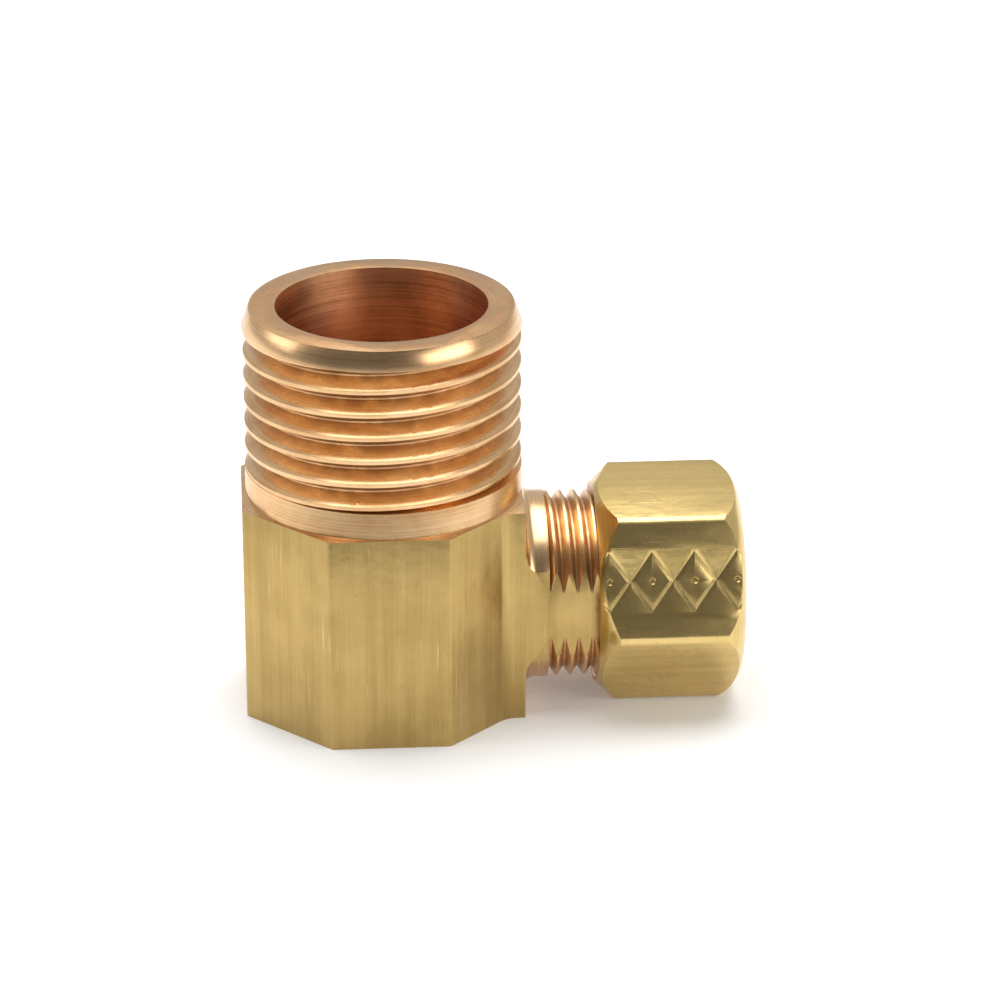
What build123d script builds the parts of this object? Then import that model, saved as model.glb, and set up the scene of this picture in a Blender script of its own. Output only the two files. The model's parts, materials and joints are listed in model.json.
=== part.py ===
from build123d import *
import os
from math import ceil, cos, floor, pi, radians, sin, sqrt, tan

# A 90 degree brass elbow: 3/8 in compression tube by 1/2-14 male pipe.
# All sizes are in millimetres. The origin is the centre of the base, on the
# pipe thread's axis. +Z runs up the pipe thread, +X out of the tube end.

INCH = 25.4
DRILL_POINT = 118.0       # degrees, point of the drilled holes
FLANK = tan(radians(30))  # half of the threads' 60 degree angle
DRILL_TIP_R = 0.3         # small flat a drill's chisel edge leaves at that point
TURN_POINTS = 24          # spline points in one turn of a thread
SEAM = -83.0              # where turned faces close, clear of the thread ends
SPARE = 1.0               # how far a cutter reaches out of what it cuts

# ---- tube, sleeve and the seat they go into ----
TUBE_R = 0.375 * INCH / 2
TUBE_CLEARANCE = 0.065    # radial, round the tube
SLEEVE_LEN = 6.35
SLEEVE_WALL = 0.62
SLEEVE_TIP_WALL = 0.16    # wall left at the two tapered tips
SEAT_ANGLE = 20.0         # half angle of the seat and of the sleeve's tapers
SEAT_MARGIN = 0.3         # seat mouth over the sleeve's radius
SEAT_GAP = 0.1            # sleeve to seat along X, with the nut run right in
BACK_GAP = 0.05           # sleeve to the nut's cone along X

# ---- tube end of the elbow ----
LIP = 0.7                 # wall from the seat mouth to the thread's root
RIB_LIP = 0.45            # wall from the seat mouth to the flats
STUB_PITCH = INCH / 24
STUB_THREAD_DEPTH = 0.62
STUB_CREST_FLAT = 0.2
STUB_THREAD_LEN = 7.75
STUB_FIRST_CREST = 0.32   # from the collar, on top
STUB_TIP_CHAMFER = 0.6
COLLAR_RISE = 0.09        # plain collar over the thread's crest
COLLAR_LEN = 1.8
SHOULDER_FILLET = 0.9
SOCKET_DEPTH = 8.0        # from the tube end's face to the tube stop
TUBE_STOP = 0.88          # width of the stop

# ---- pipe end of the elbow ----
PIPE_PITCH = INCH / 14
PIPE_CREST_R = 10.35
PIPE_THREAD_DEPTH = 1.2
PIPE_CREST_FLAT = 0.3
PIPE_END_LEN = 14.52      # from the ledge to the end face
PIPE_LEAD_R = 9.88        # radius of the end face
PIPE_BAND_R = 10.43       # foot of the steep lead-in cone under that face
PIPE_LEAD_LEN = 1.43
PIPE_FIRST_GROOVE = 2.1   # first groove under the end face, on the -Y side
PIPE_OVERLAP = 0.1        # thread that runs up inside the lead-in band
PIPE_WALL = 1.23          # thread root to bore
NECK_RISE = 0.05          # plain neck over the thread's crest
NECK_LEN = 2.0

# ---- unturned bar: an octagon with a flat rib, sawn to length ----
COLLAR_MARGIN = 1.25      # base to collar, and collar to ledge
LEDGE = 0.3               # ledge round the neck at the middle of a flat
SHOULDER_BACK = 0.4       # shoulder inside the octagon's far flat
RIB_ROOT_R = 2.0          # hollow between the rib and the slanting flats
BAR_EDGE_R = 0.35
BORE_OVER_AXIS = 0.4      # end of the pipe bore over the tube axis
CROSS_PAST_AXIS = 0.7     # end of the cross bore short of the pipe axis

# ---- nut ----
NUT_LEN = 11.0
NUT_WALL = 0.7375         # thread root to the flats
NUT_EDGE_R = 0.8
NUT_ROLL = 23.0           # the front flat looks this far above level
NUT_RING_BACK = 0.34      # end ring inside the flats, at the threaded end
NUT_CROWN_BACK = 0.75     # end ring inside the flats, at the tube end
NUT_CROWN_LEN = 1.8
NUT_CROWN_BULGE = 0.28    # of its outline beyond a straight chamfer
NUT_END_WALL = 1.85
NUT_CONE_ANGLE = 45.0     # half angle of the cone that presses the sleeve
NUT_MOUTH_RISE = 0.12     # thread root to the rim of its lead-in
NUT_HOLE_CHAMFER = 0.3
NUT_RELIEF_LEN = 0.6      # unthreaded relief in front of the cone
NUT_RELIEF_RISE = 0.08    # relief over the thread root
THREAD_CLEARANCE = 0.12   # radial, between the nut's and the elbow's threads
TIGHTEN_TURNS = 0.5       # left before the sleeve meets its seat

# ---- diamond grip pressed into two of the nut's flats ----
GRIP_PITCH = 3.2          # along the nut
GRIP_HEIGHT = 4.4         # across the flat
GRIP_GROOVE = 0.56        # width of a groove
GRIP_DEPTH = 0.15
GRIP_COUNT = 5            # crosses in one row
GRIP_SIDES = (1, 4)       # the two opposite flats that have it
GRIP_DOT_R = 0.24         # small dent in the middle of each diamond

# ---- worked out from the sizes above ----
SOCKET_R = TUBE_R + TUBE_CLEARANCE
SLEEVE_R = SOCKET_R + SLEEVE_WALL
SEAT_MOUTH_R = SLEEVE_R + SEAT_MARGIN
STUB_CREST_R = SEAT_MOUTH_R + LIP + STUB_THREAD_DEPTH
COLLAR_R = STUB_CREST_R + COLLAR_RISE
RIB_WIDTH = 2 * (SEAT_MOUTH_R + RIB_LIP)
CROSS_BORE_R = SOCKET_R - TUBE_STOP
TUBE_AXIS_Z = COLLAR_MARGIN + COLLAR_R

NECK_R = PIPE_CREST_R + NECK_RISE
PIPE_BORE_R = PIPE_CREST_R - PIPE_THREAD_DEPTH - PIPE_WALL
BAR_FLATS = 2 * (NECK_R + LEDGE)
SHOULDER_X = BAR_FLATS / 2 - SHOULDER_BACK
LEDGE_Z = 2 * TUBE_AXIS_Z
TOP_Z = LEDGE_Z + PIPE_END_LEN

STUB_START_X = SHOULDER_X + COLLAR_LEN
STUB_END_X = STUB_START_X + STUB_THREAD_LEN
THREAD_X = STUB_START_X + STUB_FIRST_CREST - STUB_PITCH
SEAT_SLOPE = tan(radians(SEAT_ANGLE))
SEAT_X = STUB_END_X - (SEAT_MOUTH_R - SOCKET_R) / SEAT_SLOPE
SLEEVE_X = SEAT_X + SLEEVE_TIP_WALL / SEAT_SLOPE + SEAT_GAP + TIGHTEN_TURNS * STUB_PITCH

NUT_CONE_SLOPE = tan(radians(NUT_CONE_ANGLE))
NUT_CONE_X = SLEEVE_X + SLEEVE_LEN + BACK_GAP + SLEEVE_TIP_WALL / NUT_CONE_SLOPE
NUT_END_X = NUT_CONE_X + NUT_END_WALL
NUT_X = NUT_END_X - NUT_LEN
NUT_THREAD_R = STUB_CREST_R + THREAD_CLEARANCE
NUT_FLATS = 2 * (NUT_THREAD_R + NUT_WALL)


def on_tube_axis(x):
    """Place at x on the tube axis whose own Z points out of the tube end."""
    return Plane(origin=(x, 0, TUBE_AXIS_Z), x_dir=(0, 1, 0), z_dir=(1, 0, 0)).location


def turned(outline):
    """Solid of revolution about Z from (radius, height) corners."""
    corners = Polyline(*[(r, 0, h) for r, h in outline], close=True)
    return Rot(0, 0, SEAM) * revolve(make_face(corners), Axis.Z)


def drilled(radius, depth):
    """Blind hole from the origin down -Z, with a drill's conical point."""
    tip_z = -depth - (radius - DRILL_TIP_R) / tan(radians(DRILL_POINT / 2))
    return turned([(0, 0), (radius, 0), (radius, -depth), (DRILL_TIP_R, tip_z), (0, tip_z)])


def threaded_rod(crest_r, depth, pitch, crest_flat, length):
    """Right-handed threaded rod along Z, with a crest at +Y where it starts.

    Its surface is four ruled strips a turn: crest, flank, root and flank. They
    run on past both ends, are closed there, and are then faced off square.
    """
    root_r = crest_r - depth
    low, high = -crest_flat / 2, crest_flat / 2
    profile = [(crest_r, low), (crest_r, high),
               (root_r, high + depth * FLANK), (root_r, pitch + low - depth * FLANK)]
    turns = ceil((length + crest_flat) / pitch) + 2

    def point(corner, turn):
        r, z = profile[corner] if corner < 4 else (0, low)
        return Vector(-r * sin(2 * pi * turn), r * cos(2 * pi * turn), z + pitch * (turn - 1))

    def rail(corner, turn):
        """One turn of a helix. The heading is its slope against the share of a turn."""
        heading = Vector(-2 * pi * profile[corner][0], 0, pitch)
        shares = [i / TURN_POINTS for i in range(TURN_POINTS + 1)]
        return Edge.make_spline(
            [point(corner, turn + share) for share in shares],
            tangents=[heading, heading], parameters=shares, scale=False)

    rails = [rail(corner, turn) for turn in range(turns) for corner in range(4)]
    rails.append(rail(0, turns))
    faces = [Face.make_surface_from_curves(*pair) for pair in zip(rails, rails[1:])]
    for turn, end in ((0, rails[0]), (turns, rails[-1])):
        axis = Edge.make_line(point(4, turn), point(4, turn + 1))
        step = [point(4, turn), *(point(corner, turn) for corner in range(4)),
                point(0, turn + 1), point(4, turn + 1)]
        faces += [Face.make_surface_from_curves(axis, end), Face(Wire.make_polygon(step))]
    width = 2 * (crest_r + SPARE)
    blank = Box(width, width, length, align=(Align.CENTER, Align.CENTER, Align.MIN))
    return Solid(Shell(faces)) & blank


def bar_block():
    """Length of unturned bar, from the base to the ledge."""
    octagon = RegularPolygon(BAR_FLATS / 2, 8, major_radius=False, rotation=22.5)
    rib = Pos(SHOULDER_X / 2, 0) * Rectangle(SHOULDER_X, RIB_WIDTH)
    faced_off = Pos(SHOULDER_X + BAR_FLATS / 2, 0) * Rectangle(BAR_FLATS, 2 * BAR_FLATS)
    block = extrude(octagon + rib - faced_off, LEDGE_Z)
    upright = block.edges().filter_by(Axis.Z)
    rib_edges = upright.filter_by(lambda e: abs(abs(e.center().Y) - RIB_WIDTH / 2) < 1e-3)
    roots = rib_edges.filter_by(lambda e: e.center().X < SHOULDER_X - 1e-3)
    rib_run = SHOULDER_X - (BAR_FLATS / sqrt(2) - RIB_WIDTH / 2)
    block = fillet(roots, min(RIB_ROOT_R, 0.9 * rib_run / tan(radians(22.5))))
    corners = block.edges().filter_by(Axis.Z).filter_by(lambda e: e.center().X < NECK_R / 2)
    return fillet(corners, BAR_EDGE_R)


def pipe_end():
    """Neck, thread and lead-in band of the pipe end, above the ledge.

    The thread starts inside the neck, so its last groove runs out there.
    """
    neck_z = LEDGE_Z + NECK_LEN
    band_z = TOP_Z - PIPE_LEAD_LEN
    neck = turned([(0, TUBE_AXIS_Z), (NECK_R, TUBE_AXIS_Z), (NECK_R, neck_z), (0, neck_z)])
    band = turned([(0, band_z), (PIPE_BAND_R, band_z), (PIPE_LEAD_R, TOP_Z), (0, TOP_Z)])
    turns = ceil((TOP_Z - PIPE_FIRST_GROOVE - neck_z) / PIPE_PITCH)
    start = TOP_Z - PIPE_FIRST_GROOVE - turns * PIPE_PITCH
    rod = threaded_rod(
        PIPE_CREST_R, PIPE_THREAD_DEPTH, PIPE_PITCH, PIPE_CREST_FLAT,
        band_z + PIPE_OVERLAP - start)
    return neck + band + Pos(0, 0, start) * rod


def tube_end():
    """Threaded tube end, turned from the rib, whose sides leave it two flats."""
    shoulder_r = COLLAR_R + SHOULDER_FILLET
    fillet_x = SHOULDER_X + SHOULDER_FILLET
    core = turned([
        (0, 0), (shoulder_r, 0), (shoulder_r, fillet_x), (COLLAR_R, fillet_x),
        (COLLAR_R, STUB_START_X), (0, STUB_START_X),
    ])
    core -= Pos(0, 0, fillet_x) * Torus(shoulder_r, SHOULDER_FILLET)
    rod = threaded_rod(
        STUB_CREST_R, STUB_THREAD_DEPTH, STUB_PITCH, STUB_CREST_FLAT, STUB_END_X - THREAD_X)
    outside_tip = turned([
        (STUB_CREST_R + SPARE, STUB_END_X - STUB_TIP_CHAMFER - SPARE),
        (STUB_CREST_R + SPARE, STUB_END_X + SPARE),
        (STUB_CREST_R - STUB_TIP_CHAMFER - SPARE, STUB_END_X + SPARE),
    ])
    thread = Pos(0, 0, THREAD_X) * rod - outside_tip
    between_flats = Box(RIB_WIDTH, 4 * COLLAR_R, 4 * STUB_END_X)
    return on_tube_axis(0) * ((core & between_flats) + (thread & between_flats))


def waterway():
    """Both bores, the tube's socket and the sleeve's seat, as one tool."""
    bore_z = TUBE_AXIS_Z + BORE_OVER_AXIS
    up = Pos(0, 0, TOP_Z) * drilled(PIPE_BORE_R, TOP_Z - bore_z)
    socket = turned([(0, 0), (SOCKET_R, 0), (SOCKET_R, -SOCKET_DEPTH), (0, -SOCKET_DEPTH)])
    seat = turned([
        (0, 0), (SEAT_MOUTH_R, 0), (SOCKET_R, SEAT_X - STUB_END_X), (0, SEAT_X - STUB_END_X)])
    cross = turned([
        (0, 0), (CROSS_BORE_R, 0), (CROSS_BORE_R, CROSS_PAST_AXIS - STUB_END_X),
        (0, CROSS_PAST_AXIS - STUB_END_X)])
    return up + on_tube_axis(STUB_END_X) * (socket + seat + cross)


def elbow_body():
    return bar_block() + pipe_end() + tube_end() - waterway()


def compression_sleeve():
    """Plain ring with both tips tapered, so it goes in either way round."""
    tip_r = SOCKET_R + SLEEVE_TIP_WALL
    taper = (SLEEVE_WALL - SLEEVE_TIP_WALL) / SEAT_SLOPE
    ring = turned([
        (SOCKET_R, 0), (tip_r, 0), (SLEEVE_R, taper), (SLEEVE_R, SLEEVE_LEN - taper),
        (tip_r, SLEEVE_LEN), (SOCKET_R, SLEEVE_LEN),
    ])
    return on_tube_axis(SLEEVE_X) * ring


def grip_grooves():
    """Crossed V grooves with dents between them, one row on each gripped flat."""
    slant = Vector(GRIP_HEIGHT, GRIP_PITCH, 0)
    section = make_face(Polyline(
        (-GRIP_GROOVE, 0, GRIP_DEPTH), (0, 0, -GRIP_DEPTH), (GRIP_GROOVE, 0, GRIP_DEPTH),
        close=True))
    stroke = extrude(section, slant.length / 2, both=True)
    turn = slant.get_angle(Vector(0, 1, 0))
    cross = [Rot(0, 0, turn) * stroke, Rot(0, 0, -turn) * stroke]
    dent = Pos(0, GRIP_PITCH / 2, 0) * Cone(GRIP_DOT_R / 2, 1.5 * GRIP_DOT_R, GRIP_DOT_R)
    cutters = []
    for side in GRIP_SIDES:
        for i in range(GRIP_COUNT):
            z = NUT_LEN / 2 + (i - (GRIP_COUNT - 1) / 2) * GRIP_PITCH
            place = Rot(0, 0, 60 * side) * Pos(0, -NUT_FLATS / 2, z) * Rot(90, 0, 0)
            cutters += [place * one for one in cross]
            if i < GRIP_COUNT - 1:
                cutters.append(place * dent)
    return cutters


def nut_outside():
    """Hexagon along Z from its threaded end, chamfered there, crowned at the other."""
    hexagon = RegularPolygon(NUT_FLATS / 2, 6, major_radius=False)
    bar = extrude(hexagon, NUT_LEN)
    bar = fillet(bar.edges().filter_by(Axis.Z), NUT_EDGE_R)
    corner_r = NUT_FLATS / 2 / cos(radians(30))
    ring_r = NUT_FLATS / 2 - NUT_RING_BACK
    crown_r = NUT_FLATS / 2 - NUT_CROWN_BACK
    crown_z = NUT_LEN - NUT_CROWN_LEN
    side = Polyline(
        (crown_r, 0, NUT_LEN), (0, 0, NUT_LEN), (0, 0, 0), (ring_r, 0, 0),
        (corner_r, 0, corner_r - ring_r), (corner_r, 0, crown_z))
    low, high = Vector(corner_r, 0, crown_z), Vector(crown_r, 0, NUT_LEN)
    outward = (high - low).cross(Vector(0, -1, 0)).normalized()
    crown = ThreePointArc(low, (low + high) / 2 + outward * NUT_CROWN_BULGE, high)
    envelope = revolve(make_face([side, crown]), Axis.Z)
    return Rot(0, 0, 30 - NUT_ROLL) * ((bar & envelope) - grip_grooves())


def nut_thread(length):
    """Plug in mesh with the elbow's thread, a clearance larger, to cut the nut's."""
    start = THREAD_X - NUT_X + (floor((NUT_X - THREAD_X) / STUB_PITCH) - 1) * STUB_PITCH
    plug = threaded_rod(
        NUT_THREAD_R, STUB_THREAD_DEPTH, STUB_PITCH, STUB_CREST_FLAT, length - start)
    return Pos(0, 0, start) * plug


def compression_nut():
    """Nut along Z from its threaded end, then laid on the tube axis."""
    mouth_r = NUT_THREAD_R + NUT_MOUTH_RISE
    relief_r = NUT_THREAD_R + NUT_RELIEF_RISE
    cone_end = NUT_CONE_X - NUT_X
    cone_start = cone_end - (relief_r - SOCKET_R) / NUT_CONE_SLOPE
    relief_start = cone_start - NUT_RELIEF_LEN
    hole = turned([
        (0, relief_start), (relief_r, relief_start), (relief_r, cone_start),
        (SOCKET_R, cone_end), (SOCKET_R, NUT_LEN - NUT_HOLE_CHAMFER),
        (SOCKET_R + NUT_HOLE_CHAMFER, NUT_LEN), (0, NUT_LEN),
    ])
    lead_in = turned([(0, 0), (mouth_r, 0), (0, mouth_r)])
    bored = nut_outside() - hole - lead_in
    return on_tube_axis(NUT_X) * (bored - nut_thread(relief_start + NUT_RELIEF_LEN / 2))


os.makedirs("parts", exist_ok=True)
export_step(elbow_body(), "parts/elbow_body.step")
export_step(compression_sleeve(), "parts/compression_sleeve.step")
export_step(compression_nut(), "parts/compression_nut.step")
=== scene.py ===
# %% [markdown]
# # A brass elbow for copper tube
#
# The elbow is a length of extruded brass bar that has been turned at two ends,
# with a tapered ring and a hexagon nut on its tube end. The engineering model
# already has every size right, so this lesson adds what the shop adds to it:
# edges that the tools have eased, drawing lines on the bar, turning rings on
# the threads, and the light that shows them. Some shade is painted into the
# colours as well: the bar darker than the nut, the bores darker and redder,
# and the thread roots darker.

# %% Load the frame
import json
from math import radians, sqrt

import bpy
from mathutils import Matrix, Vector


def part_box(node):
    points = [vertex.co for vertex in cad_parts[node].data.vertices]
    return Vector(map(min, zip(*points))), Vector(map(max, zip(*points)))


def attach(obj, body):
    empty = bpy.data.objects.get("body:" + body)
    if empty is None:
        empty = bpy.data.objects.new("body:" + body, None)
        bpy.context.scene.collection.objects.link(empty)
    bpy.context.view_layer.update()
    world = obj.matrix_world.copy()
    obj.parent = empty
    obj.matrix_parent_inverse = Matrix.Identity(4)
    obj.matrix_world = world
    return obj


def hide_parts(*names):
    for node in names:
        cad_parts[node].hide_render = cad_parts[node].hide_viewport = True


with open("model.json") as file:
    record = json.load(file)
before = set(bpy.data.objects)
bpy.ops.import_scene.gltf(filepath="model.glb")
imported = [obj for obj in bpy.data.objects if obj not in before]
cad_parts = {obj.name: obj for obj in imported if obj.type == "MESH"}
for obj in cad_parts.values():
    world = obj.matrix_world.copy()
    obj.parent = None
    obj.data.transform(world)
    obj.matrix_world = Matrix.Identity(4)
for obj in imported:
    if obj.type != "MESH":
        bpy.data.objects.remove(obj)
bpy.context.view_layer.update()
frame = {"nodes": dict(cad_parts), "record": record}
print("nodes:", sorted(frame["nodes"]))

# %% [markdown]
# ## The places that the finishes need
#
# A turner thinks of this part as two axes: the pipe end runs up Z, the tube
# end out along X. Which tool touched a face follows from its distance to
# those axes. The axes come from the frame's own mounts. The limits are in
# metres and lie a little beside the sizes of the engineering model, so that
# the middle of a face falls clearly on one side of them.

# %% Axes and levels
mounts = {mount["name"]: mount for mount in frame["record"]["mounts"]}
AXIS_Z = mounts["tube_socket"]["pos_m"][2]        # height of the tube axis
TOP_Z = mounts["pipe_thread"]["pos_m"][2]         # end face of the pipe thread
LEDGE_Z = 2 * AXIS_Z                              # the bar ends here
SHOULDER_X = 0.0103                               # face that the tube end stands on
PIPE_BORE_R = 0.00792                             # the pipe end's bore
CROSS_BORE_R = 0.0045                             # just over the bore that joins the two ends
CROSS_BORE_X = 0.003                              # past this, that bore counts as the tube end's
SEAT_R = 0.0058                                   # just over the mouth of the tube end's seat
TUBE_FLAT_Y = 0.00615                             # just inside the tube end's two flats
NUT_BORE_R = 0.00735                              # just over the rim of the nut's lead-in
NUT_END_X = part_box("compression_nut")[1][0]       # the nut's outer end face
HAIR = 0.00005                                    # two faces closer than this are level
print("tube axis at", round(1000 * AXIS_Z, 3), "mm, ledge at", round(1000 * LEDGE_Z, 3), "mm")


# %% [markdown]
# ## Working copies with eased edges
#
# The engineering solids stay as they are. Each piece is worked on a merged
# copy whose flat faces are whole again. No tool leaves a perfectly sharp
# corner, so the copy's corners are rounded by a few hundredths of a
# millimetre, which is what makes a brass edge catch the light.

# %% Helpers for working a piece in edit mode
def take_up(piece):
    """Makes one piece the only one selected, and the active one."""
    bpy.ops.object.select_all(action="DESELECT")
    piece.select_set(True)
    bpy.context.view_layer.objects.active = piece


def workpiece(node, name):
    """A merged copy of a CAD node whose flat faces are whole again."""
    take_up(frame["nodes"][node])
    bpy.ops.object.duplicate()
    piece = bpy.context.view_layer.objects.active
    piece.name = piece.data.name = name
    piece.parent = None
    take_up(piece)
    bpy.ops.mesh.customdata_custom_splitnormals_clear()
    bpy.ops.object.mode_set(mode="EDIT")
    bpy.ops.mesh.select_all(action="SELECT")
    bpy.ops.mesh.remove_doubles(threshold=1e-6)
    bpy.ops.mesh.dissolve_limited(angle_limit=radians(0.2))
    bpy.ops.object.mode_set(mode="OBJECT")
    print(name, "faces:", len(piece.data.polygons))
    return piece


def ease_edges(piece, width_mm, angle=32):
    """Rounds the sharp edges by a hair, as a tool or a tumbling barrel leaves them."""
    take_up(piece)
    bevel = piece.modifiers.new("eased edges", "BEVEL")
    bevel.width = width_mm / 1000
    bevel.segments = 2
    bevel.limit_method = "ANGLE"
    bevel.angle_limit = radians(angle)
    bevel.miter_outer = "MITER_ARC"
    bpy.ops.object.modifier_apply(modifier=bevel.name)
    bpy.ops.object.shade_smooth_by_angle(angle=radians(angle))
    print(piece.name, "faces after easing:", len(piece.data.polygons))


# %% [markdown]
# ## Writing a finish in nodes
#
# Every finish on this part is the same brass. What changes is the path that
# the tool took: straight down the bar in the drawing die, round and round on
# the lathe. So each finish first turns the point into tool coordinates, in
# millimetres, and then stretches noise along the tool's path.

# %% A bench for nodes
class Finish:
    """One material and short ways to add its nodes."""

    def __init__(self, name):
        self.material = bpy.data.materials.new(name)
        self.material.use_nodes = True
        self.tree = self.material.node_tree
        self.tree.nodes.clear()
        self.output = self.tree.nodes.new("ShaderNodeOutputMaterial")
        self.shader = self.tree.nodes.new("ShaderNodeBsdfPrincipled")
        self.tree.links.new(self.shader.outputs["BSDF"], self.output.inputs["Surface"])
        self.shader.inputs["Metallic"].default_value = 1.0

    def feed(self, socket, value):
        """Links a node's output to the socket, or sets a plain value."""
        if hasattr(value, "is_output"):
            self.tree.links.new(value, socket)
        else:
            socket.default_value = value

    def sum(self, operation, a, b=0.0):
        """One step of arithmetic on one or two values."""
        node = self.tree.nodes.new("ShaderNodeMath")
        node.operation = operation
        for socket, value in zip(node.inputs, (a, b)):
            self.feed(socket, value)
        return node.outputs[0]

    def point(self, centre=(0, 0, 0)):
        """x, y and z in millimetres from a centre in metres."""
        place = self.tree.nodes.new("ShaderNodeTexCoord").outputs["Object"]
        mapping = self.tree.nodes.new("ShaderNodeMapping")
        mapping.inputs["Location"].default_value = [-1000 * c for c in centre]
        mapping.inputs["Scale"].default_value = (1000, 1000, 1000)
        self.tree.links.new(place, mapping.inputs["Vector"])
        split = self.tree.nodes.new("ShaderNodeSeparateXYZ")
        self.tree.links.new(mapping.outputs[0], split.inputs[0])
        return [split.outputs[axis] for axis in "XYZ"]

    def place(self, *parts):
        """Joins up to three values into one place."""
        node = self.tree.nodes.new("ShaderNodeCombineXYZ")
        for socket, value in zip(node.inputs, parts):
            self.feed(socket, value)
        return node.outputs[0]

    def noise(self, parts, stretch, detail=3.0, roughness=0.55):
        """Noise between 0 and 1 whose grain along each part is 1 / stretch mm."""
        node = self.tree.nodes.new("ShaderNodeTexNoise")
        scaled = [self.sum("MULTIPLY", part, by) for part, by in zip(parts, stretch)]
        self.feed(node.inputs["Vector"], self.place(*scaled))
        node.inputs["Scale"].default_value = 1.0
        node.inputs["Detail"].default_value = detail
        node.inputs["Roughness"].default_value = roughness
        return node.outputs["Fac"]

    def ramp(self, value, low, high, out_low=0.0, out_high=1.0):
        """Maps low..high to out_low..out_high, and holds it there outside."""
        node = self.tree.nodes.new("ShaderNodeMapRange")
        node.interpolation_type = "SMOOTHSTEP"
        for name, number in (("From Min", low), ("From Max", high),
                             ("To Min", out_low), ("To Max", out_high)):
            node.inputs[name].default_value = number
        self.feed(node.inputs["Value"], value)
        return node.outputs["Result"]

    def blend(self, share, first, second):
        """Colour between first and second."""
        node = self.tree.nodes.new("ShaderNodeMix")
        node.data_type = "RGBA"
        sockets = {s.identifier: s for s in node.inputs}
        self.feed(sockets["Factor_Float"], share)
        self.feed(sockets["A_Color"], first)
        self.feed(sockets["B_Color"], second)
        return next(s for s in node.outputs if s.identifier == "Result_Color")

    def bumps(self, *heights):
        """Layers of (height, depth in mm), one on the other."""
        normal = None
        for height, depth in heights:
            node = self.tree.nodes.new("ShaderNodeBump")
            node.inputs["Strength"].default_value = 1.0
            node.inputs["Distance"].default_value = depth / 1000
            self.feed(node.inputs["Height"], height)
            if normal is not None:
                self.feed(node.inputs["Normal"], normal)
            normal = node.outputs[0]
        self.feed(self.shader.inputs["Normal"], normal)


def colour(red, green, blue):
    """An opaque colour, in linear light."""
    return (red, green, blue, 1.0)


# The bar's two colours are the nut's brass darkened by about a third: painted shade.
SHADED_BAR_YELLOW = colour(0.53, 0.372, 0.142)         # skin of the extruded bar, darkened: painted shade
SHADED_BAR_OLIVE = colour(0.41, 0.282, 0.098)          # the same skin where it has dulled
NUT_YELLOW = colour(0.76, 0.565, 0.235)     # the same brass on the nut, without the bar's painted shade
NUT_OLIVE = colour(0.62, 0.45, 0.165)       # and where it has dulled, also without it
FRESH = colour(0.80, 0.545, 0.30)           # newly cut, a little pink
COPPERY = colour(0.62, 0.355, 0.16)         # cut metal in shade and in grooves
SHADED_BORE_RED = colour(0.70, 0.345, 0.175)    # metal down a bore, darker and redder: painted shade and painted reflection
STAIN_AND_SHADE = colour(0.34, 0.16, 0.075)           # dark stain for specks; painted shade in the bores; random darker patches in the thread roots


# %% [markdown]
# ## The drawn skin of the bar
#
# The bar comes out of a die and is drawn to size, which leaves fine straight
# lines down its whole length. They are long noise, thin across and very slow
# along. A second, finer layer carries the few deeper scratches, and a broad
# cloudy one the dulling that handling leaves.

# %% Drawn finish
def drawn_finish(name, along, bright=SHADED_BAR_YELLOW, dull=SHADED_BAR_OLIVE, gloss=0.30):
    """Lines along one axis: 0 is X, 2 is Z."""
    finish = Finish(name)
    place = finish.point()

    def lines(across, down, detail):
        stretch = [across] * 3
        stretch[along] = down
        return finish.noise(place, stretch, detail)

    fine = lines(9.0, 0.10, 4.0)
    broad = lines(1.1, 0.035, 2.0)
    scratch = finish.ramp(lines(5.0, 0.16, 2.0), 0.66, 0.74)
    cloud = finish.noise(place, (0.16, 0.16, 0.16), 4.0, 0.62)
    speck = finish.ramp(finish.noise(place, (3.4, 3.4, 3.4), 2.0), 0.70, 0.78)
    share = finish.sum("ADD", finish.sum("MULTIPLY", fine, 0.45), finish.sum("MULTIPLY", broad, 0.55))
    share = finish.sum("ADD", finish.sum("MULTIPLY", share, 0.55), finish.sum("MULTIPLY", cloud, 0.45))
    skin = finish.blend(finish.ramp(share, 0.36, 0.64), bright, dull)
    skin = finish.blend(finish.sum("MULTIPLY", scratch, 0.45), skin, FRESH)
    skin = finish.blend(finish.sum("MULTIPLY", speck, 0.5), skin, STAIN_AND_SHADE)
    finish.feed(finish.shader.inputs["Base Color"], skin)
    rough = finish.sum("ADD", gloss - 0.05, finish.sum("MULTIPLY", cloud, 0.16))
    rough = finish.sum("ADD", rough, finish.sum("MULTIPLY", speck, 0.15))
    finish.feed(finish.shader.inputs["Roughness"], rough)
    finish.bumps((cloud, 0.10), (broad, 0.010), (fine, 0.0022), (scratch, 0.003))
    return finish.material


bar_skin = drawn_finish("drawn bar skin", along=2)
nut_skin = drawn_finish("drawn nut skin", along=0, bright=NUT_YELLOW, dull=NUT_OLIVE, gloss=0.24)
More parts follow.
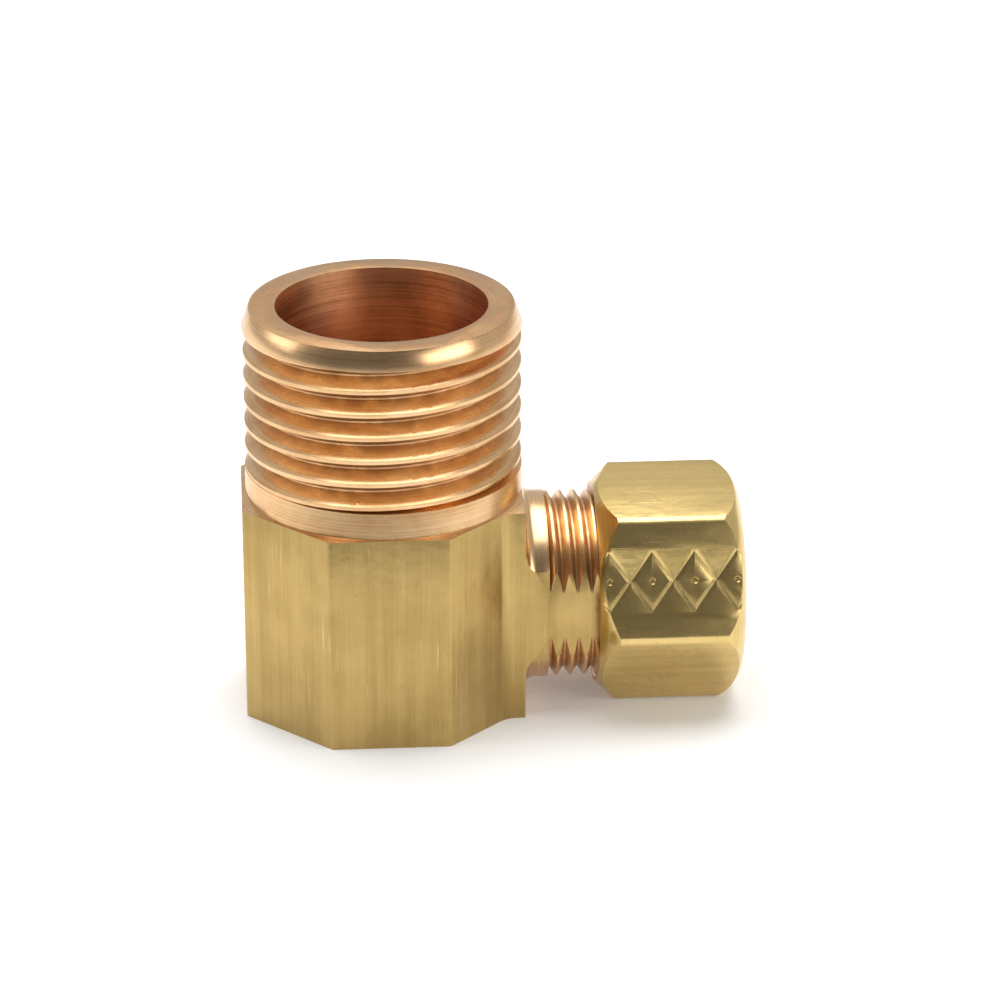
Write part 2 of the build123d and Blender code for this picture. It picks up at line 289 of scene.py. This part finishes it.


# %% [markdown]
# ## The turned finish
#
# A lathe tool leaves rings, close together and almost exactly round. Seen as
# numbers, a ring is constant in angle and changes with the distance along the
# axis and out from it, so the noise is taken at (radius, angle, length) with
# the angle hardly stretched at all. Towards the thread's roots the colour is
# painted darker, as painted shade, and darker and less glossy still in random patches.

# %% Turned finish
def turned_finish(name, along, centre=(0, 0, 0), crest=None, root=None,
                  bright=FRESH, deep=COPPERY, gloss=0.24, ring_depth=0.0022):
    """Rings round X (0) or Z (2). crest and root are radii in mm."""
    finish = Finish(name)
    place = finish.point(centre)
    first, second = [place[i] for i in range(3) if i != along]
    radius = finish.sum("SQRT", finish.sum("ADD", finish.sum("MULTIPLY", first, first),
                                           finish.sum("MULTIPLY", second, second)))
    angle = finish.sum("ARCTAN2", first, second)
    lathe = (radius, angle, place[along])
    rings = finish.noise(lathe, (6.5, 0.35, 6.5), 4.0, 0.6)
    feed = finish.noise(lathe, (1.6, 0.20, 1.6), 2.0)
    chatter = finish.noise(lathe, (3.0, 26.0, 1.2), 2.0)
    cloud = finish.noise(place, (0.22, 0.22, 0.22), 4.0, 0.62)
    share = finish.sum("ADD", finish.sum("MULTIPLY", rings, 0.5), finish.sum("MULTIPLY", cloud, 0.5))
    skin = finish.blend(finish.ramp(share, 0.38, 0.66), bright, deep)
    rough = finish.sum("ADD", gloss - 0.06, finish.sum("MULTIPLY", feed, 0.14))
    if crest:
        # Painted shade: the colour darkens towards the thread's roots.
        depth = finish.ramp(radius, crest, root)
        patches = finish.ramp(finish.noise(place, (0.8, 0.8, 0.8), 3.0), 0.25, 0.7)
        # Random patches towards the roots, darker and rougher.
        root_patches = finish.sum("MULTIPLY", depth, patches)
        skin = finish.blend(finish.sum("MULTIPLY", depth, 0.45), skin, deep)
        skin = finish.blend(finish.sum("MULTIPLY", root_patches, 0.45), skin, STAIN_AND_SHADE)
        rough = finish.sum("ADD", rough, finish.sum("MULTIPLY", root_patches, 0.18))
    finish.feed(finish.shader.inputs["Base Color"], skin)
    finish.feed(finish.shader.inputs["Roughness"], rough)
    finish.bumps((cloud, 0.012), (feed, 0.003), (chatter, 0.0006), (rings, ring_depth))
    return finish.material


TUBE_CENTRE = (0, 0, AXIS_Z)
pipe_thread = turned_finish("turned pipe end", 2, crest=10.2, root=9.2)
tube_thread = turned_finish("turned tube end", 0, TUBE_CENTRE, crest=7.0, root=6.5)
tube_face = turned_finish("turned nut faces", 0, TUBE_CENTRE, bright=NUT_YELLOW, deep=NUT_OLIVE)
ledge_cut = turned_finish("turned ledge", 2, gloss=0.22, ring_depth=0.006)
# The bores' colours are darker and redder than the outside: painted shade and painted reflection.
pipe_bore = turned_finish("bored pipe end", 2, bright=SHADED_BORE_RED, deep=STAIN_AND_SHADE, gloss=0.34, ring_depth=0.004)
tube_bore = turned_finish("bored tube end", 0, TUBE_CENTRE, bright=SHADED_BORE_RED, deep=STAIN_AND_SHADE, gloss=0.30)
ring_cut = turned_finish("turned ring", 0, TUBE_CENTRE, gloss=0.18)


# %% [markdown]
# ## The sawn base
#
# The bar is cut to length with a saw, and nobody dresses that end. Its marks
# are straight, coarse and uneven, right across the base, so this finish is
# the drawn one laid on its side with deeper lines.

# %% Sawn finish
sawn_base = Finish("sawn base")
saw_place = sawn_base.point()
saw_lines = sawn_base.noise(saw_place, (0.12, 5.0, 1.0), 4.0)
saw_steps = sawn_base.noise(saw_place, (0.03, 1.1, 0.2), 2.0)
saw_cloud = sawn_base.noise(saw_place, (0.3, 0.3, 0.3), 3.0)
sawn_base.feed(sawn_base.shader.inputs["Base Color"],
               sawn_base.blend(sawn_base.ramp(saw_lines, 0.35, 0.68), SHADED_BAR_YELLOW, COPPERY))
sawn_base.feed(sawn_base.shader.inputs["Roughness"],
               sawn_base.sum("ADD", 0.30, sawn_base.sum("MULTIPLY", saw_cloud, 0.2)))
sawn_base.bumps((saw_steps, 0.05), (saw_lines, 0.012))


# %% [markdown]
# ## The elbow's body
#
# The body goes through the saw, the lathe and the drill, and each leaves its
# own finish on the faces it touched. A merged copy of the engineering solid
# stands for it, because the copy's edges can be eased and its faces given to
# several finishes, and the solid itself must stay as it is.

# %% Which tool touched which face
def elbow_finish(centre, normal):
    """Number of the finish that one face of the elbow has, in the order given below."""
    round_pipe = sqrt(centre.x ** 2 + centre.y ** 2)
    round_tube = sqrt(centre.y ** 2 + (centre.z - AXIS_Z) ** 2)
    if centre.z < HAIR:
        return 3
    if centre.x > SHOULDER_X - HAIR and centre.z < LEDGE_Z - HAIR:
        if round_tube < SEAT_R and normal.x < 0.9:
            return 5
        return 0 if abs(normal.y) > 0.98 and abs(centre.y) > TUBE_FLAT_Y else 2
    if round_pipe < PIPE_BORE_R + 2 * HAIR and centre.z < TOP_Z - HAIR and normal.z < 0.9:
        return 4 if round_tube > CROSS_BORE_R or centre.x < CROSS_BORE_X else 5
    if centre.z > LEDGE_Z - HAIR:
        return 6 if centre.z < LEDGE_Z + HAIR else 1
    return 0


def give_finishes(piece, finishes, chooser):
    """Fills the slots, then asks the chooser about every face."""
    piece.data.materials.clear()
    for finish in finishes:
        piece.data.materials.append(finish)
    for face in piece.data.polygons:
        face.material_index = chooser(face.center, face.normal)


elbow = workpiece("elbow_body", "elbow")
give_finishes(elbow, [bar_skin, pipe_thread, tube_thread, sawn_base.material,
                      pipe_bore, tube_bore, ledge_cut], elbow_finish)
ease_edges(elbow, 0.07)
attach(elbow, "elbow")
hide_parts("elbow_body")

# %% [markdown]
# ## The nut
#
# The nut is parted off from drawn hexagon bar, so its six flats keep the
# die's lines along the part, while the chamfer and crown are turned. The
# crossed grip grooves in two opposite flats are in the engineering model.

# %% Nut faces
def nut_finish(centre, normal):
    """Number of the finish that one face of the nut has, in the order given below."""
    round_tube = sqrt(centre.y ** 2 + (centre.z - AXIS_Z) ** 2)
    if round_tube < NUT_BORE_R and centre.x < NUT_END_X - 2 * HAIR:
        return 2
    return 1 if abs(normal.x) > 0.25 else 0


nut = workpiece("compression_nut", "nut")
give_finishes(nut, [nut_skin, tube_face, tube_bore], nut_finish)
ease_edges(nut, 0.06)
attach(nut, "nut")
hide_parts("compression_nut")

# %% [markdown]
# ## The ring inside
#
# The compression ring hides under the nut. It is bright and smooth, turned
# all over, and shows when the nut is taken off.

# %% Ring
ring = workpiece("compression_sleeve", "ring")
give_finishes(ring, [ring_cut], lambda centre, normal: 0)
ease_edges(ring, 0.03)
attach(ring, "sleeve")
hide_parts("compression_sleeve")

# %% [markdown]
# ## Table, light and camera
#
# Brass shows its surroundings more than its own colour. A white table
# lights the upright flats from below, a wide soft box above lights what
# faces up, and the room in front stays darker, so that a flat that looks
# at the viewer goes a deep gold.

# %% Table
bpy.ops.object.select_all(action="DESELECT")
bpy.ops.mesh.primitive_circle_add(vertices=96, radius=1.6, fill_type="NGON", location=(0, 0, 0))
table = bpy.context.view_layer.objects.active
table.name = "table"
card = Finish("white card")
card_place = card.point()
card_grain = card.noise(card_place, (1.5, 1.5, 1.5), 3.0)
card.shader.inputs["Metallic"].default_value = 0.0
card.feed(card.shader.inputs["Base Color"],
          card.blend(card_grain, colour(0.93, 0.93, 0.93), colour(0.96, 0.96, 0.96)))
card.shader.inputs["Roughness"].default_value = 0.7
card.shader.inputs["Emission Color"].default_value = (1, 1, 1, 1)
card.shader.inputs["Emission Strength"].default_value = 0.14
card.bumps((card_grain, 0.01))
table.data.materials.append(card.material)


# %% Lights
def soft_box(name, place, aim, width, height, watts):
    """A soft box that faces its aim."""
    light = bpy.data.lights.new(name, "AREA")
    light.shape = "RECTANGLE"
    light.size = width
    light.size_y = height
    light.energy = watts
    lamp = bpy.data.objects.new(name, light)
    bpy.context.scene.collection.objects.link(lamp)
    lamp.location = place
    lamp.rotation_euler = (Vector(aim) - Vector(place)).to_track_quat("-Z", "Y").to_euler()


soft_box("overhead box", (0.0, 0.14, 0.60), (0.0, 0.0, 0.0), 0.60, 0.60, 3.6)
soft_box("left box", (-0.60, 0.06, 0.30), (0.0, 0.0, 0.02), 0.34, 0.34, 0.7)
soft_box("right box", (0.508, -0.356, 0.24), (0.0, 0.0, 0.02), 0.50, 0.24, 1.3)

world = bpy.data.worlds.new("studio")
bpy.context.scene.world = world
world.use_nodes = True
sky = world.node_tree
sky.nodes.clear()
sky_out = sky.nodes.new("ShaderNodeOutputWorld")
room = sky.nodes.new("ShaderNodeBackground")       # what the brass reflects
paper = sky.nodes.new("ShaderNodeBackground")      # what stands behind the table
seen = sky.nodes.new("ShaderNodeLightPath")
either = sky.nodes.new("ShaderNodeMixShader")
way = sky.nodes.new("ShaderNodeTexCoord")
split = sky.nodes.new("ShaderNodeSeparateXYZ")
front = sky.nodes.new("ShaderNodeMapRange")
front.interpolation_type = "SMOOTHSTEP"
for name, number in (("From Min", -0.75), ("From Max", 0.35), ("To Min", 0.16), ("To Max", 0.62)):
    front.inputs[name].default_value = number
sky.links.new(way.outputs["Generated"], split.inputs[0])
sky.links.new(split.outputs["Y"], front.inputs["Value"])
sky.links.new(front.outputs["Result"], room.inputs["Strength"])
room.inputs["Color"].default_value = (1.0, 0.98, 0.95, 1)
paper.inputs["Strength"].default_value = 1.0
paper.inputs["Color"].default_value = (1, 1, 1, 1)
sky.links.new(seen.outputs["Is Camera Ray"], either.inputs[0])
sky.links.new(room.outputs[0], either.inputs[1])
sky.links.new(paper.outputs[0], either.inputs[2])
sky.links.new(either.outputs[0], sky_out.inputs[0])

# %% Camera
bpy.context.scene.view_settings.view_transform = "Standard"
CAMERA_PLACE = Vector((-0.01077, -0.28687, 0.13768))
CAMERA_AIM = Vector((0.00879, 0.0, 0.01531))
lens = bpy.data.cameras.new("camera")
lens.lens = 148.8
lens.sensor_width = 36
lens.clip_start = 0.01
camera = bpy.data.objects.new("camera", lens)
bpy.context.scene.collection.objects.link(camera)
camera.location = CAMERA_PLACE
camera.rotation_euler = (CAMERA_AIM - CAMERA_PLACE).to_track_quat("-Z", "Y").to_euler()
bpy.context.scene.camera = camera
print("camera is", round(1000 * (CAMERA_AIM - CAMERA_PLACE).length), "mm away")
